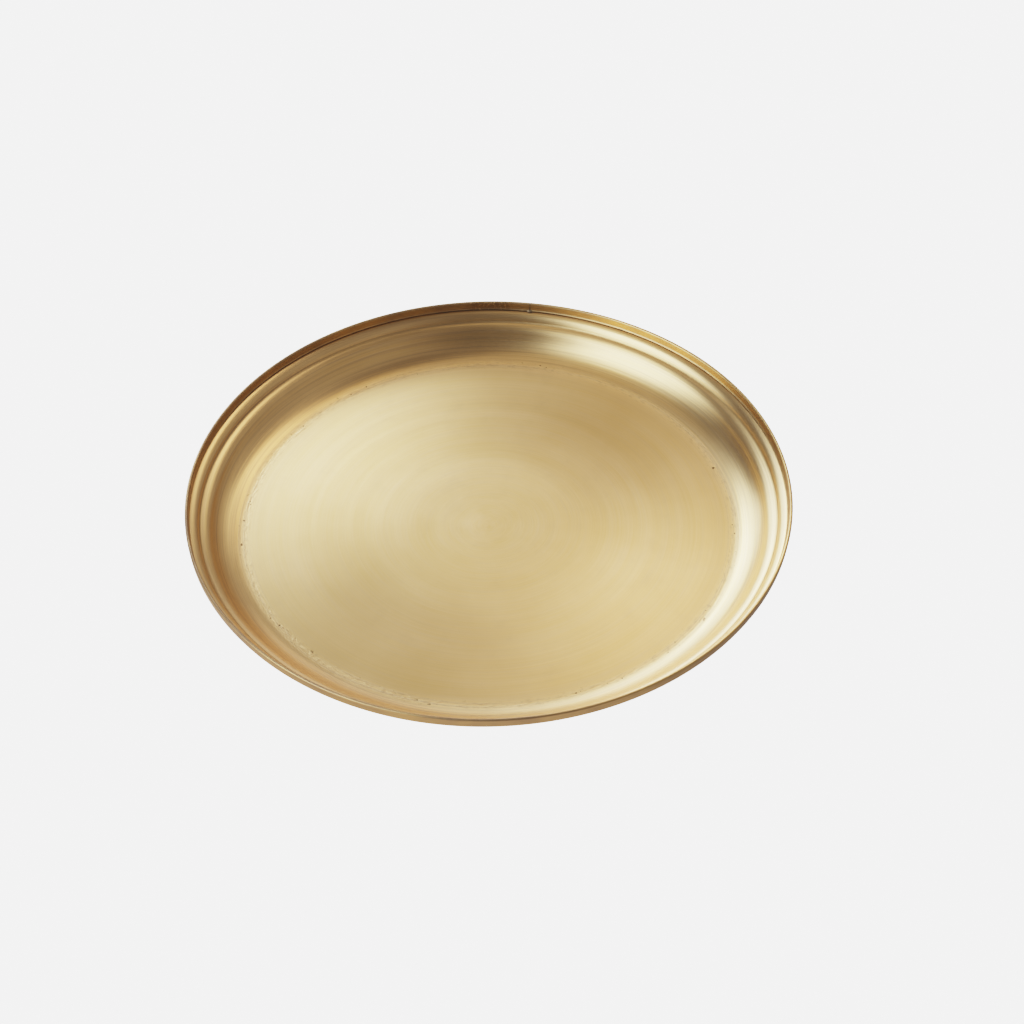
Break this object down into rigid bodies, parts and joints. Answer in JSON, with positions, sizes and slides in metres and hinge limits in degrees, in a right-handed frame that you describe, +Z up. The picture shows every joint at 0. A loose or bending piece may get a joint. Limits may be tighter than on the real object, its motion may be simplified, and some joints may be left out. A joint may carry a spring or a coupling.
{
  "type": "serving tray",
  "caption": "Shallow round brass tray: a spun pan with a hollow-curved wall and a bead, its edge bound by a folded strip.",
  "frame": {"origin": "centre of the tray, on the surface it stands on", "axes": "+Z up along the tray's axis; the joint in the rim is at the back, 81 degrees round from +X towards +Y"},
  "size_m": [0.3, 0.3, 0.0215],
  "materials": {
    "pan_brass": "satin, turned lines round the axis, light cloudy patina",
    "strip_brass": "aged, half dull, darker along its folded edges",
    "hard_solder": "pale, rough as left by the torch"
  },
  "bodies": {
    "root": {"tray_pan": "pan_brass", "rim_strip": "strip_brass", "joint_tack": "hard_solder"}
  },
  "joints": []
}
